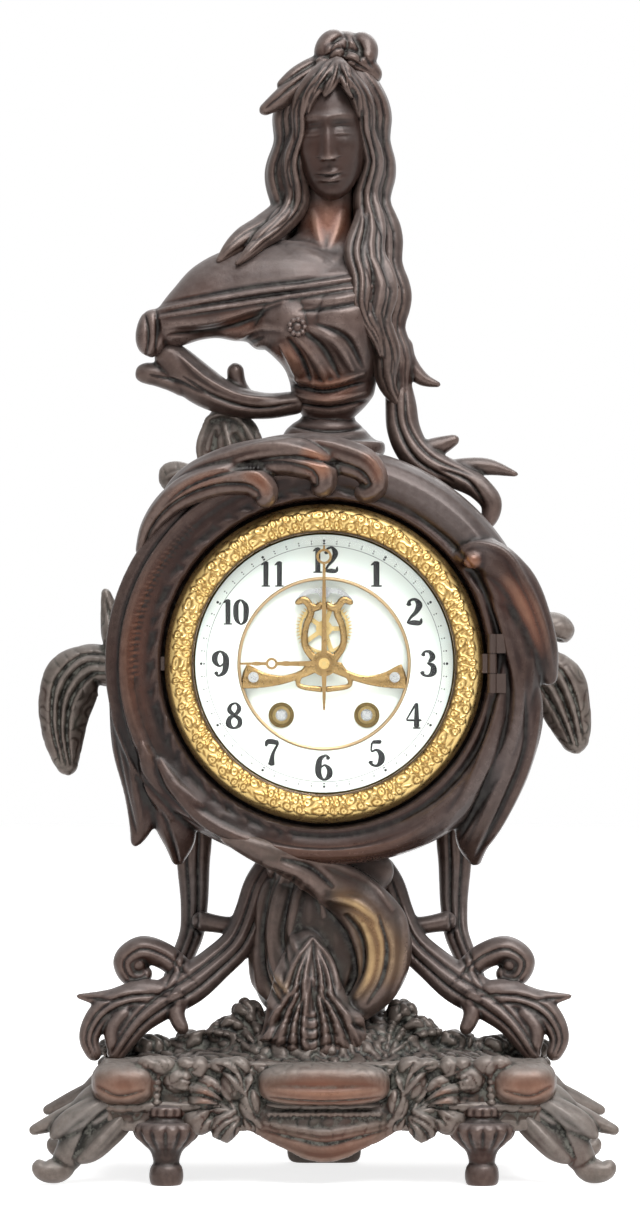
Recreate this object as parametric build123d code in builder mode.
"""Figural mantel clock: a cast bust on a round case, a draped trunk and a footed base, with its movement.

Millimetres, +Z up. The origin is on the table under the middle of the base, and the dial faces -Y.
"""

import math
import os

from build123d import *

os.makedirs("parts", exist_ok=True)

# Common fits
running_gap = 0.05  # radial clearance of a pivot or pin that turns
part_gap = 0.3  # room between pieces that move past each other
cut_overrun = 6.0  # how far a cutting body runs past what it cuts

# Overall sizes
plinth_top = 54.0  # top of the base above the table
base_rise = 78.0  # from the top of the base to the case
bezel_radius = 70.0
bezel_band = 12.6  # width of the gilt band
case_border = 26.0  # of the case round the bezel
bezel_sight_radius = bezel_radius - bezel_band
case_radius = bezel_radius + case_border
dial_height = plinth_top + base_rise + case_radius  # dial centre above the table

# Levels along the dial axis: a smaller Y is nearer the viewer
front_plate_y = -36.0  # front face of the movement's front plate
bezel_seat_y = -50.0  # face of the case that the bezel closes on

# Movement frame
plate_radius = 46.0
plate_thickness = 2.0
plate_gap = 36.0  # between the two plates
pillar_radius = 3.0
pillar_circle_radius = 41.5
pillar_angles = (30, 90, 150, 270)
pillar_tenon_radius = 1.8
pillar_tenon_length = 3.5
pillar_nut_radius = 3.2
pillar_nut_height = 1.5
pivot_radius = 0.9
arbor_radius = 1.5

# Wheel and pinion teeth, as shares of the module and of one tooth's pitch
addendum_share = 0.85
dedendum_share = 1.35
wheel_root_share = 0.23
wheel_tip_share = 0.07
pinion_root_share = 0.15
pinion_tip_share = 0.07
wheel_thickness = 1.2
wheel_hub_radius = 3.6
wheel_rim_width = 2.4
wheel_spoke_width = 2.0
wheel_spoke_count = 5
pinion_length = 3.0

# Going train
winding_spacing = 37.6  # between the two winding squares
winding_drop = 22.6  # below the dial centre
great_module = 0.5
great_teeth = 70
great_thickness = 2.0
second_pinion_teeth = 10
second_module = 0.5
second_teeth = 64
center_pinion_teeth = 10
fine_module = 0.32
center_teeth = 96
third_pinion_teeth = 8
third_teeth = 80
escape_pinion_teeth = 8
third_wheel_depth = 1.0  # behind the front plate
second_wheel_depth = 4.0
great_wheel_depth = 7.2
center_wheel_depth = 28.5

# Spring barrels and winding
barrel_radius = 16.4
barrel_length = 16.0
barrel_bore_radius = 3.0
winding_arbor_radius = 2.6
winding_square = 3.6
winding_square_reach = 9.5  # ahead of the front plate
ratchet_radius = 7.0
ratchet_teeth = 20
ratchet_depth = 0.9
ratchet_thickness = 1.6
ratchet_stand_off = 0.8

# Motion work between the front plate and the dial
cannon_module = 0.5
cannon_teeth = 12
minute_wheel_teeth = 36
minute_pinion_teeth = 10
hour_wheel_teeth = 40
motion_angle = -62.0
cannon_wall = 0.6
hour_pipe_wall = 0.6
motion_wheel_thickness = 0.9
motion_stand_off = 0.5
motion_step = 1.9

# Visible escapement
escape_height = 15.5  # wheel above the dial centre
escape_radius = 13.0
escape_teeth = 48
escape_tooth_depth = 2.0
escape_root_share = 0.12  # of a tooth's pitch, where the steep flank meets the root
escape_heel_share = 0.62  # of a tooth's pitch, where the long flank leaves the root
escape_thickness = 0.8
escape_stand_off = 7.6  # ahead of the front plate
escape_hub_radius = 2.6
cock_reach = 12.0
cock_rise = 8.5
cock_half_width = 2.8
pallet_height = 31.5
pallet_boss_radius = 2.6
pallet_arm_width = 2.2
pallet_pin_radius = 0.7
pallet_pin_length = 1.8
pallet_thickness = 1.0
pallet_wing_reach = 11.8
pallet_pin_gap = 0.6  # of a pin from the wheel's tips at rest
pallet_elbow_share = 0.6
pallet_pin_angle = 36.0  # from the line of centres, seen at the wheel
bridge_thickness = 1.8
bridge_stand_off = 10.2  # ahead of the front plate
bridge_hub_radius = 5.6
bridge_hub_bore = 3.8
bridge_screw_reach = 31.0
bridge_screw_drop = 6.0
bridge_boat_half_width = 10.5
bridge_boat_drop = 7.0
bridge_tower_half_width = 6.2
bridge_tower_waist = 4.4
bridge_rail_width = 1.7
bridge_top_boss_radius = 3.2
bridge_foot_radius = 4.0
bridge_post_radius = 2.4
bridge_screw_radius = 1.2
bridge_screw_head_radius = 2.3
bridge_screw_head_height = 1.0
bridge_rail_share = 0.7
bridge_shoulder_share = 0.8
screw_slot_width = 0.5
screw_slot_depth = 0.4

# Dial
dial_overlap = 3.8  # of the chapter ring behind the bezel
dial_ring_radius = bezel_sight_radius + dial_overlap
dial_ring_inner = 37.6
dial_thickness = 2.0
dial_pan_border = 5.8  # of the pan round the chapter ring
dial_pan_radius = dial_ring_radius + dial_pan_border
dial_pan_thickness = 1.2
dial_post_radius = 2.0
dial_post_circle_radius = 43.4
dial_post_angles = (45, 135, 225, 315)
dial_center_radius = 41.0
dial_center_recess = 4.0  # behind the chapter ring's face
dial_center_thickness = 1.4
inner_ring_width = 1.3
inner_ring_thickness = 0.8
grommet_radius = 5.6
grommet_bore = 3.9
grommet_lip = 0.9
grommet_lip_height = 0.7

# Hands
hour_hand_length = 37.0
hour_ring_place = 23.0
hour_ring_radius = 2.6
hour_ornament_shares = ((1.0, 1.0), (0.72, 0.45), (1.28, 0.35))
minute_hand_gap = 5.4  # from its tip to the sight edge
minute_hand_length = bezel_sight_radius - minute_hand_gap
minute_tail_length = 20.5
minute_ring_setback = 5.0  # of its ring from its tip
minute_ring_place = minute_hand_length - minute_ring_setback
minute_ring_radius = 3.4
hand_thickness = 0.7
hand_root_width = 2.6
hand_tip_width = 0.9
hand_ring_width = 1.1
hand_boss_radius = 3.6
hand_step = 1.9  # from one hand's rear face to the next
hour_hand_stand_off = 12.6  # ahead of the front plate
hand_nut_radius = 2.4
hand_nut_height = 1.4
center_post_radius = 1.0

# Bezel and glass
bezel_height = 13.6
bezel_edge_height = 3.6
bezel_lip_height = 1.6
bezel_crest_share = 0.52  # place of the crest across the band
bezel_inner_drop = 1.9
glass_rebate = 1.4  # of the glass behind the sight edge
glass_radius = bezel_sight_radius + glass_rebate
glass_thickness = 4.0
glass_bevel_width = 4.6
glass_bevel_depth = 2.2
glass_gap = 0.15
retainer_width = 2.6
retainer_height = 1.0
hinge_pin_radius = 0.9
hinge_barrel_radius = 2.2
hinge_length = 26.0
hinge_reach = 3.4  # of its axis past the bezel's rim
hinge_forward = 7.0  # of its axis ahead of the bezel's seat
hinge_leaf_thickness = 1.6
hinge_leaf_reach = 6.0
latch_width = 6.0
latch_reach = 3.0
latch_height = 2.4

# Pendulum and its suspension
pendulum_floor_gap = 6.0  # from the rod's end to the drum
pendulum_rod_radius = 0.9
bob_radius = 15.0
bob_thickness = 6.0
bob_rounding_share = 0.4
pendulum_stand_off = 12.0  # behind the back plate
suspension_height = 5.0  # of the cock's foot above the pallet arbor
suspension_cock_width = 9.0
suspension_cock_thickness = 2.4
suspension_spring_width = 3.0
suspension_spring_thickness = 0.3
suspension_block = 4.0
crutch_length = 30.0
crutch_wire_radius = 0.7
crutch_stand_off = 4.0  # behind the back plate
crutch_fork_half_width = 2.2
rating_nut_radius = 3.0
rating_nut_height = 3.0
rating_thread_length = 9.0

# Strike: hammer and coil gong
hammer_pivot_x = -32.0
hammer_pivot_z = 28.0
hammer_head_x = -48.0
hammer_head_z = -6.0
hammer_stud_radius = 1.8
hammer_boss_radius = 3.4
hammer_boss_length = 5.0
hammer_rod_radius = 0.9
hammer_head_radius = 3.6
hammer_head_length = 8.0
gong_wire_radius = 1.2
gong_turns = 3
gong_samples = 24  # points measured on each half turn
gong_pitch = 5.0
gong_outer_radius = 40.0
gong_drop = 5.0  # of its middle below the dial centre
gong_stand_off = 9.0  # ahead of the back door's seat
gong_bracket_width = 7.0
gong_bracket_depth = 5.0
gong_tail = 4.0  # of wire held in the bracket

# Case
case_crest_inset = 10.0  # of the moulding's crest from the rim
case_crest_radius = case_radius - case_crest_inset
case_crest_height = 8.0  # of the front moulding ahead of the bezel's seat
case_cove_gap = 4.0  # round the bezel
case_cove_radius = bezel_radius + case_cove_gap
dial_opening_gap = 0.8  # round the chapter ring
case_opening_radius = dial_ring_radius + dial_opening_gap
case_wall = 4.0
case_front_rear_y = -31.0
case_collar_front = 12.0  # front end of the drum, behind the bezel's seat
seat_thickness = 5.5
drum_inset = 7.0  # of the drum from the rim
drum_radius = case_radius - drum_inset
drum_wall = 2.5
drum_rear_y = 42.0
drum_lip = 12.0
back_door_inset = 6.0  # of the door from the drum
back_door_radius = drum_radius - back_door_inset
back_door_thickness = 1.4
back_door_dome = 3.0
sound_hole_radius = 2.6
sound_hole_circle_radius = 44.0
sound_hole_count = 24
door_hinge_length = 30.0
door_hinge_reach = 3.2
door_hinge_barrel_radius = 2.0
door_knob_radius = 2.8
door_knob_length = 7.0
door_knob_inset = 3.0  # of the knob from the door's edge
door_knob_place = back_door_radius - door_knob_inset
door_stem_radius = 1.4

# Castings: base, trunk, scrolls, cresting and bust
plinth_bottom = 24.0
plinth_length = 196.0
plinth_depth = 112.0
plinth_corner_radius = 8.0
plinth_wall = 4.0
cushion_length = 62.0
cushion_depth = 14.0
cushion_height = 18.0
cushion_rounding = 6.0
corner_cushion_length = 30.0
corner_cushion_depth = 34.0
corner_cushion_height = 19.0
corner_cushion_overhang = 4.0  # past the plinth's ends
corner_cushion_reach = plinth_length / 2 + corner_cushion_overhang
bead_band_height = 3.0
bead_band_reach = 2.2
apron_drop = 9.0
apron_thickness = 6.0
apron_half_length = 46.0
apron_shares = ((1.0, 0.0), (0.84, 0.55), (0.6, 1.0))
foot_end_inset = 29.0  # of a front foot from the plinth's end
foot_spacing = plinth_length - 2 * foot_end_inset
foot_front_inset = 4.0
foot_setback = plinth_depth / 2 - foot_front_inset
foot_profile_shares = (
    (0.46, 0.0),
    (0.46, 0.22),
    (0.42, 0.25),
    (0.46, 0.36),
    (0.75, 0.52),
    (1.0, 0.68),
    (0.95, 0.74),
    (0.6, 0.8),
    (0.62, 0.92),
    (0.3, 1.0),
)
foot_radius = 15.0
foot_sink = 12.0  # of a front foot's cap above the plinth's bottom
foot_height = plinth_bottom + foot_sink
toe_radius = 6.5
toe_height = 8.0
rear_foot_length = 34.0
rear_foot_depth = 12.0
rear_foot_inset = 10.0
rear_foot_setback = plinth_depth / 2 - rear_foot_inset
base_overhang = 31.5  # of the widest leaf tips past the plinth's ends
base_reach = plinth_length / 2 + base_overhang
base_projection = 19.0  # of the deepest leaves past the plinth's front
depth_reach = plinth_depth / 2 + base_projection
wing_overhang = 33.5  # of the wing tips past the case
limb_girth = 10.0  # unit for the half widths of cast limbs
bust_sink = 2.0  # of the bust's socle in the case's crown
bust_base = dial_height + case_radius - bust_sink
bust_height = 187.0
bust_reach = 84.0
trunk_shares = (
    (0.0, -0.04, -0.03, 2.70, 2.50),
    (0.0, -0.04, 0.20, 2.90, 2.60),
    (0.0, -0.04, 0.50, 3.15, 2.80),
    (0.0, -0.04, 0.75, 3.20, 2.80),
    (0.0, -0.02, 0.95, 3.30, 2.90),
    (0.0, 0.0, 1.15, 3.80, 3.20),
    (0.0, 0.0, 1.30, 4.20, 3.40),
)
scroll_main_shares = (
    (0.163, -0.027, 1.079, 0.50, 0.60),
    (0.221, -0.080, 0.938, 0.50, 0.60),
    (0.245, -0.107, 0.808, 0.50, 0.60),
    (0.296, -0.160, 0.628, 0.55, 0.60),
    (0.377, -0.213, 0.509, 0.55, 0.60),
    (0.442, -0.267, 0.413, 0.50, 0.60),
    (0.540, -0.320, 0.317, 0.45, 0.60),
    (0.639, -0.373, 0.182, 0.40, 0.50),
    (0.686, -0.400, 0.041, 0.32, 0.40),
    (0.707, -0.413, -0.027, 0.30, 0.40),
)
scroll_volute_shares = (
    (0.435, -0.280, 0.391, 0.34, 0.40),
    (0.489, -0.253, 0.504, 0.40, 0.48),
    (0.564, -0.240, 0.588, 0.42, 0.50),
    (0.639, -0.240, 0.605, 0.42, 0.50),
    (0.680, -0.240, 0.537, 0.40, 0.50),
    (0.659, -0.240, 0.458, 0.36, 0.45),
    (0.618, -0.240, 0.458, 0.30, 0.40),
    (0.608, -0.240, 0.515, 0.24, 0.35),
)
scroll_tip_shares = (
    (0.523, -0.320, 0.317, 0.45, 0.50),
    (0.615, -0.320, 0.357, 0.42, 0.45),
    (0.734, -0.347, 0.334, 0.30, 0.35),
    (0.849, -0.373, 0.346, 0.08, 0.10),
)
scroll_hook_shares = (
    (0.598, -0.320, 0.334, 0.35, 0.45),
    (0.717, -0.347, 0.289, 0.34, 0.45),
    (0.775, -0.373, 0.210, 0.32, 0.40),
    (0.792, -0.400, 0.109, 0.30, 0.40),
    (0.775, -0.427, -0.015, 0.24, 0.35),
)
scroll_strut_shares = (
    (0.448, 0.107, 1.265, 0.60, 0.50),
    (0.448, 0.107, 1.068, 0.60, 0.50),
    (0.442, 0.080, 0.836, 0.55, 0.50),
    (0.448, 0.027, 0.701, 0.50, 0.50),
    (0.476, -0.053, 0.588, 0.48, 0.50),
    (0.510, -0.160, 0.475, 0.45, 0.50),
    (0.550, -0.267, 0.312, 0.40, 0.45),
)
scroll_tie_shares = (
    (0.265, -0.133, 0.718, 0.35, 0.40),
    (0.343, -0.107, 0.741, 0.30, 0.40),
    (0.448, -0.053, 0.752, 0.35, 0.40),
)
wing_right_shares = (
    (-0.357, -0.080, -0.019, 0.60, 0.80),
    (-0.055, -0.053, -0.005, 0.60, 0.80),
    (0.142, -0.027, 0.027, 0.70, 0.80),
    (0.339, -0.027, -0.001, 0.75, 0.80),
    (0.444, -0.027, -0.143, 0.80, 0.60),
    (0.510, -0.027, -0.303, 0.62, 0.50),
    (0.557, -0.027, -0.413, 0.24, 0.30),
)
wing_right_lump_shares = (
    (-0.357, -0.053, 0.040, 0.60, 0.80),
    (-0.134, 0.000, 0.118, 0.60, 0.80),
    (0.076, 0.000, 0.173, 0.70, 0.90),
    (0.260, 0.000, 0.183, 0.65, 0.80),
    (0.405, 0.000, 0.128, 0.40, 0.60),
)
wing_left_shares = (
    (0.318, -0.080, -0.037, 0.60, 0.80),
    (0.055, -0.053, -0.019, 0.60, 0.80),
    (-0.208, -0.027, 0.018, 0.70, 0.80),
    (-0.470, -0.027, 0.027, 0.75, 0.80),
    (-0.667, -0.027, -0.074, 0.85, 0.60),
    (-0.707, -0.027, -0.235, 0.85, 0.60),
    (-0.628, -0.027, -0.386, 0.70, 0.50),
    (-0.523, -0.027, -0.519, 0.26, 0.30),
)
wing_left_nib_shares = (
    (0.291, -0.080, -0.037, 0.50, 0.60),
    (0.081, -0.080, 0.109, 0.60, 0.70),
    (0.002, -0.053, 0.238, 0.45, 0.50),
    (-0.076, -0.053, 0.357, 0.14, 0.20),
)
leaf_left_shares = (
    (-0.898, -0.480, -0.303, 0.50, 0.70),
    (-0.944, -0.480, -0.464, 0.60, 0.80),
    (-0.917, -0.493, -0.624, 0.55, 0.70),
    (-0.843, -0.507, -0.817, 0.12, 0.20),
)
leaf_right_shares = (
    (0.898, -0.507, -0.166, 0.50, 0.70),
    (0.926, -0.493, -0.372, 0.65, 0.80),
    (0.871, -0.493, -0.578, 0.60, 0.70),
    (0.788, -0.507, -0.762, 0.45, 0.60),
    (0.697, -0.520, -0.890, 0.12, 0.20),
)
wave_left_shares = (
    (-0.797, -0.533, 0.788, 0.30, 0.60),
    (-0.683, -0.560, 0.865, 0.70, 0.80),
    (-0.500, -0.587, 0.943, 0.90, 0.90),
    (-0.293, -0.613, 0.980, 0.90, 0.90),
    (-0.119, -0.640, 0.925, 0.80, 0.80),
    (-0.073, -0.667, 0.833, 0.50, 0.60),
)
wave_middle_shares = (
    (-0.408, -0.480, 0.971, 0.60, 0.80),
    (-0.179, -0.507, 1.026, 0.80, 0.90),
    (0.050, -0.533, 1.026, 0.80, 0.90),
    (0.220, -0.587, 0.953, 0.70, 0.80),
    (0.284, -0.613, 0.815, 0.40, 0.60),
)
wave_low_shares = (
    (-0.632, -0.733, 0.714, 0.50, 0.60),
    (-0.454, -0.733, 0.806, 0.60, 0.70),
    (-0.284, -0.720, 0.833, 0.55, 0.65),
    (-0.174, -0.720, 0.769, 0.40, 0.50),
)
wave_right_shares = (
    (0.280, -0.560, 0.925, 0.50, 0.60),
    (0.486, -0.587, 0.870, 0.70, 0.80),
    (0.669, -0.560, 0.742, 0.70, 0.80),
    (0.830, -0.533, 0.545, 0.50, 0.60),
)
fan_shares = (
    (-0.422, -0.187, 0.820, 0.70, 0.50),
    (-0.468, -0.160, 0.957, 1.20, 0.40),
    (-0.449, -0.133, 1.081, 1.20, 0.40),
    (-0.403, -0.107, 1.191, 0.35, 0.30),
)
fan_small_shares = (
    (-0.523, -0.213, 0.788, 0.60, 0.50),
    (-0.632, -0.187, 0.852, 0.70, 0.40),
    (-0.729, -0.160, 0.898, 0.50, 0.40),
    (-0.788, -0.160, 0.916, 0.14, 0.20),
)
socle_shares = (
    (0.068, -0.107, -0.028, 2.40, 1.90),
    (0.068, -0.107, 0.010, 2.10, 1.70),
    (0.068, -0.107, 0.047, 1.45, 1.25),
    (0.063, -0.133, 0.085, 1.55, 1.30),
)
torso_shares = (
    (0.063, -0.133, 0.085, 1.55, 1.30),
    (0.047, -0.147, 0.137, 1.75, 1.35),
    (0.037, -0.173, 0.184, 2.10, 1.55),
    (0.016, -0.227, 0.236, 2.70, 1.90),
    (-0.010, -0.267, 0.295, 3.30, 2.20),
    (-0.031, -0.240, 0.353, 3.70, 2.20),
    (-0.042, -0.187, 0.412, 3.80, 2.00),
    (-0.031, -0.147, 0.459, 3.30, 1.70),
    (0.000, -0.120, 0.499, 1.60, 1.30),
    (0.010, -0.133, 0.537, 1.20, 1.20),
    (0.021, -0.173, 0.577, 1.14, 1.16),
    (0.031, -0.200, 0.631, 1.15, 1.20),
)
shoulder_left_shares = (
    (-0.100, -0.187, 0.389, 1.60, 1.50),
    (-0.325, -0.200, 0.396, 1.80, 1.70),
    (-0.519, -0.227, 0.382, 1.80, 1.70),
    (-0.676, -0.253, 0.358, 1.60, 1.50),
    (-0.807, -0.267, 0.318, 1.20, 1.20),
    (-0.922, -0.267, 0.271, 0.60, 0.70),
)
shoulder_right_shares = (
    (0.084, -0.160, 0.412, 1.40, 1.40),
    (0.230, -0.160, 0.393, 1.40, 1.40),
    (0.367, -0.133, 0.353, 0.90, 1.00),
)
head_shares = (
    (0.052, -0.333, 0.605, 0.50, 0.60),
    (0.047, -0.293, 0.626, 1.00, 1.20),
    (0.042, -0.227, 0.671, 1.50, 1.90),
    (0.037, -0.187, 0.730, 1.70, 2.20),
    (0.031, -0.173, 0.800, 1.70, 2.20),
    (0.031, -0.160, 0.871, 1.50, 1.90),
    (0.037, -0.147, 0.923, 1.00, 1.30),
    (0.042, -0.147, 0.946, 0.30, 0.40),
)
hair_left_shares = (
    (-0.010, -0.187, 0.923, 0.80, 1.00),
    (-0.126, -0.240, 0.876, 0.80, 1.00),
    (-0.183, -0.240, 0.800, 0.70, 0.90),
    (-0.210, -0.187, 0.718, 0.70, 0.90),
    (-0.230, -0.133, 0.636, 0.75, 0.90),
    (-0.251, -0.107, 0.565, 0.80, 0.90),
    (-0.283, -0.133, 0.499, 0.60, 0.70),
)
hair_right_shares = (
    (0.094, -0.160, 0.923, 0.90, 1.10),
    (0.220, -0.160, 0.859, 0.80, 1.10),
    (0.278, -0.107, 0.777, 0.75, 1.00),
    (0.293, -0.053, 0.683, 0.80, 1.00),
    (0.314, -0.027, 0.589, 0.80, 1.00),
    (0.346, -0.053, 0.495, 0.90, 0.90),
    (0.388, -0.107, 0.400, 0.80, 0.80),
    (0.403, -0.133, 0.306, 0.70, 0.70),
    (0.388, -0.133, 0.212, 0.60, 0.70),
    (0.367, -0.133, 0.123, 0.40, 0.50),
)
hair_back_shares = (
    (0.037, 0.000, 0.942, 1.20, 1.00),
    (0.037, 0.080, 0.871, 1.70, 1.40),
    (0.037, 0.080, 0.777, 1.80, 1.40),
    (0.042, 0.080, 0.683, 1.70, 1.30),
    (0.052, 0.053, 0.589, 1.60, 1.10),
    (0.063, 0.053, 0.483, 1.40, 0.90),
)
headdress_shares = (
    (-0.110, -0.080, 0.904, 0.50, 0.90),
    (-0.021, -0.080, 0.942, 0.70, 1.20),
    (0.110, -0.080, 0.958, 0.75, 1.30),
    (0.230, -0.080, 0.946, 0.70, 1.20),
    (0.320, -0.080, 0.911, 0.40, 0.80),
)
quill_shares = (
    (-0.335, -0.293, 0.812, 0.25, 0.30),
    (-0.220, -0.280, 0.852, 0.42, 0.50),
    (-0.094, -0.240, 0.899, 0.55, 0.70),
    (0.052, -0.133, 0.951, 0.50, 0.80),
)
arm_left_shares = (
    (-0.100, -0.160, 0.132, 0.60, 0.80),
    (-0.325, -0.187, 0.113, 0.65, 0.80),
    (-0.534, -0.200, 0.127, 0.65, 0.80),
    (-0.691, -0.213, 0.165, 0.60, 0.70),
    (-0.859, -0.213, 0.175, 0.48, 0.55),
    (-1.016, -0.213, 0.175, 0.40, 0.45),
)
arm_left_high_shares = (
    (-0.623, -0.213, 0.146, 0.50, 0.60),
    (-0.754, -0.227, 0.193, 0.50, 0.60),
    (-0.859, -0.240, 0.236, 0.45, 0.55),
    (-0.932, -0.240, 0.264, 0.35, 0.45),
)
arm_left_branch_shares = (
    (-0.388, -0.187, 0.118, 0.50, 0.60),
    (-0.492, -0.160, 0.165, 0.45, 0.55),
    (-0.471, -0.160, 0.231, 0.30, 0.40),
)
arm_right_shares = (
    (0.110, -0.160, 0.151, 0.60, 0.70),
    (0.293, -0.187, 0.123, 0.60, 0.70),
    (0.398, -0.213, 0.071, 0.60, 0.70),
    (0.503, -0.240, 0.010, 0.60, 0.70),
    (0.639, -0.267, -0.037, 0.50, 0.60),
    (0.775, -0.293, -0.065, 0.45, 0.60),
    (0.880, -0.320, -0.113, 0.40, 0.50),
    (0.870, -0.347, -0.169, 0.25, 0.40),
)
arm_right_leaf_shares = (
    (0.492, -0.240, 0.000, 0.40, 0.50),
    (0.634, -0.240, 0.019, 0.40, 0.40),
    (0.733, -0.240, 0.040, 0.10, 0.15),
)
arm_right_blade_shares = (
    (0.660, -0.267, -0.037, 0.40, 0.40),
    (0.870, -0.267, -0.033, 0.35, 0.40),
    (1.032, -0.267, -0.051, 0.10, 0.15),
)
arm_right_spur_shares = (
    (0.346, -0.173, 0.109, 0.40, 0.50),
    (0.492, -0.160, 0.160, 0.40, 0.45),
    (0.623, -0.160, 0.163, 0.10, 0.15),
)
corner_leg_shares = (
    (0.700, -0.560, 0.750, 0.80, 0.90),
    (0.775, -0.587, 0.619, 0.80, 0.90),
    (0.836, -0.627, 0.456, 0.70, 0.80),
    (0.870, -0.653, 0.277, 0.60, 0.70),
    (0.883, -0.667, 0.130, 0.52, 0.65),
)
corner_nib_shares = (
    (0.788, -0.600, 0.603, 0.50, 0.60),
    (0.897, -0.627, 0.497, 0.40, 0.50),
    (0.999, -0.640, 0.424, 0.10, 0.15),
)

front_plate_rear_y = front_plate_y + plate_thickness
back_plate_y = front_plate_rear_y + plate_gap
back_plate_rear_y = back_plate_y + plate_thickness


def dial_plane(y):
    """Plane square to the dial axis at a level, seen from the front: local x is X and local y is height."""
    return Plane(origin=(0, y, dial_height), x_dir=(1, 0, 0), z_dir=(0, -1, 0))


def polar(radius, angle):
    """Point at a radius and an angle in degrees, anticlockwise from +X as seen from the front."""
    return (radius * math.cos(math.radians(angle)), radius * math.sin(math.radians(angle)))


def third_corner(first, second, first_reach, second_reach, side):
    """Place at given distances from two others, on the left (+1) or right (-1) of the line between them."""
    span = math.dist(first, second)
    along = (first_reach**2 - second_reach**2 + span**2) / (2 * span)
    off = side * math.sqrt(first_reach**2 - along**2)
    ux, uz = (second[0] - first[0]) / span, (second[1] - first[1]) / span
    return (first[0] + ux * along - uz * off, first[1] + uz * along + ux * off)


def heading(first, second):
    """Angle in degrees from one place to another."""
    return math.degrees(math.atan2(second[1] - first[1], second[0] - first[0]))


def mesh_phase(teeth_a, phase_a, teeth_b, direction):
    """Phase of wheel B that puts its gaps on the teeth of wheel A, with B in a direction from A."""
    pitch_a, pitch_b = 360 / teeth_a, 360 / teeth_b
    return direction + 180 + pitch_b * (0.5 - (phase_a - direction) / pitch_a)


def toothed_outline(place, teeth, module, root_share, tip_share, phase):
    """Corners of a toothed rim: straight flanks that narrow to the tip."""
    pitch_radius = teeth * module / 2
    root = pitch_radius - dedendum_share * module
    tip = pitch_radius + addendum_share * module
    corners = []
    for tooth in range(teeth):
        centre = phase + tooth * 360 / teeth
        for radius, share in ((root, -root_share), (tip, -tip_share), (tip, tip_share), (root, root_share)):
            x, z = polar(radius, centre + share * 360 / teeth)
            corners.append((place[0] + x, place[1] + z))
    return corners


def spoked_wheel(place, rear_y, thickness, outline, rim_radius, arbor):
    """Wheel with a toothed outline, a rim, spokes and a hub, riveted on its arbor."""
    with BuildPart() as wheel:
        with BuildSketch(dial_plane(rear_y)):
            with BuildLine():
                Polyline(*outline, close=True)
            make_face()
            with Locations(place):
                Circle(rim_radius, mode=Mode.SUBTRACT)
                Circle(wheel_hub_radius)
                with PolarLocations(0, wheel_spoke_count):
                    Rectangle(
                        rim_radius + wheel_rim_width / 2,
                        wheel_spoke_width,
                        align=(Align.MIN, Align.CENTER),
                    )
        extrude(amount=thickness)
        add(arbor)
    return wheel.part


def pinion_arbor(place, rear_y, front_y, pinion_rear_y, length, teeth, module, phase):
    """Arbor with a leaf pinion cut on it and a pivot at each end."""
    outline = toothed_outline(place, teeth, module, pinion_root_share, pinion_tip_share, phase)
    with BuildPart() as arbor:
        with BuildSketch(dial_plane(rear_y)):
            with Locations(place):
                Circle(arbor_radius)
        extrude(amount=rear_y - front_y)
        with BuildSketch(dial_plane(rear_y + plate_thickness)):
            with Locations(place):
                Circle(pivot_radius)
        extrude(amount=rear_y - front_y + 2 * plate_thickness)
        with BuildSketch(dial_plane(pinion_rear_y)):
            with Locations(place):
                Circle(arbor_radius + running_gap)
        extrude(amount=length, mode=Mode.SUBTRACT)
        with BuildSketch(dial_plane(pinion_rear_y)):
            with BuildLine():
                Polyline(*outline, close=True)
            make_face()
        extrude(amount=length)
    return arbor.part


def limb(rows):
    """Cast limb lofted through ellipses: each row holds its centre and its half width and half depth.

    The width lies in the XZ plane across the limb's run and the depth along Y.
    """
    centres = [Vector(row[0], row[1], row[2]) for row in rows]
    with BuildPart() as body:
        for index, row in enumerate(rows):
            before = centres[max(index - 1, 0)]
            after = centres[min(index + 1, len(rows) - 1)]
            run = (after - before).normalized()
            across = run.cross(Vector(0, 1, 0)).normalized()
            with BuildSketch(Plane(origin=centres[index], x_dir=across, z_dir=run)):
                Ellipse(row[3], row[4])
        loft()
    return body.part


def placed(shares, origin, reach, rise, mirror=1):
    """Rows of a limb from shares: X of the reach, Y of the depth, Z of the rise and sizes of the girth."""
    return [
        (
            origin[0] + mirror * x * reach,
            origin[1] + y * depth_reach,
            origin[2] + z * rise,
            width * limb_girth,
            depth * limb_girth,
        )
        for x, y, z, width, depth in shares
    ]


def write(part, name):
    """Labels a finished piece and writes its own file."""
    part.label = name
    export_step(part, f"parts/{name}.step")


# Places of the arbors in the dial's plane
center_place = (0, 0)
time_place = (winding_spacing / 2, -winding_drop)
strike_place = (-winding_spacing / 2, -winding_drop)
escape_place = (0, escape_height)
pallet_place = (0, pallet_height)
second_place = third_corner(
    center_place,
    time_place,
    second_module * (second_teeth + center_pinion_teeth) / 2,
    great_module * (great_teeth + second_pinion_teeth) / 2,
    1,
)
third_place = third_corner(
    center_place,
    escape_place,
    fine_module * (center_teeth + third_pinion_teeth) / 2,
    fine_module * (third_teeth + escape_pinion_teeth) / 2,
    1,
)
motion_reach = cannon_module * (cannon_teeth + minute_wheel_teeth) / 2
motion_place = polar(motion_reach, motion_angle)
hour_module = 2 * motion_reach / (minute_pinion_teeth + hour_wheel_teeth)
pillar_places = [polar(pillar_circle_radius, angle) for angle in pillar_angles]
dial_post_places = [polar(dial_post_circle_radius, angle) for angle in dial_post_angles]
bridge_post_places = [(-bridge_screw_reach, -bridge_screw_drop), (bridge_screw_reach, -bridge_screw_drop)]

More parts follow.
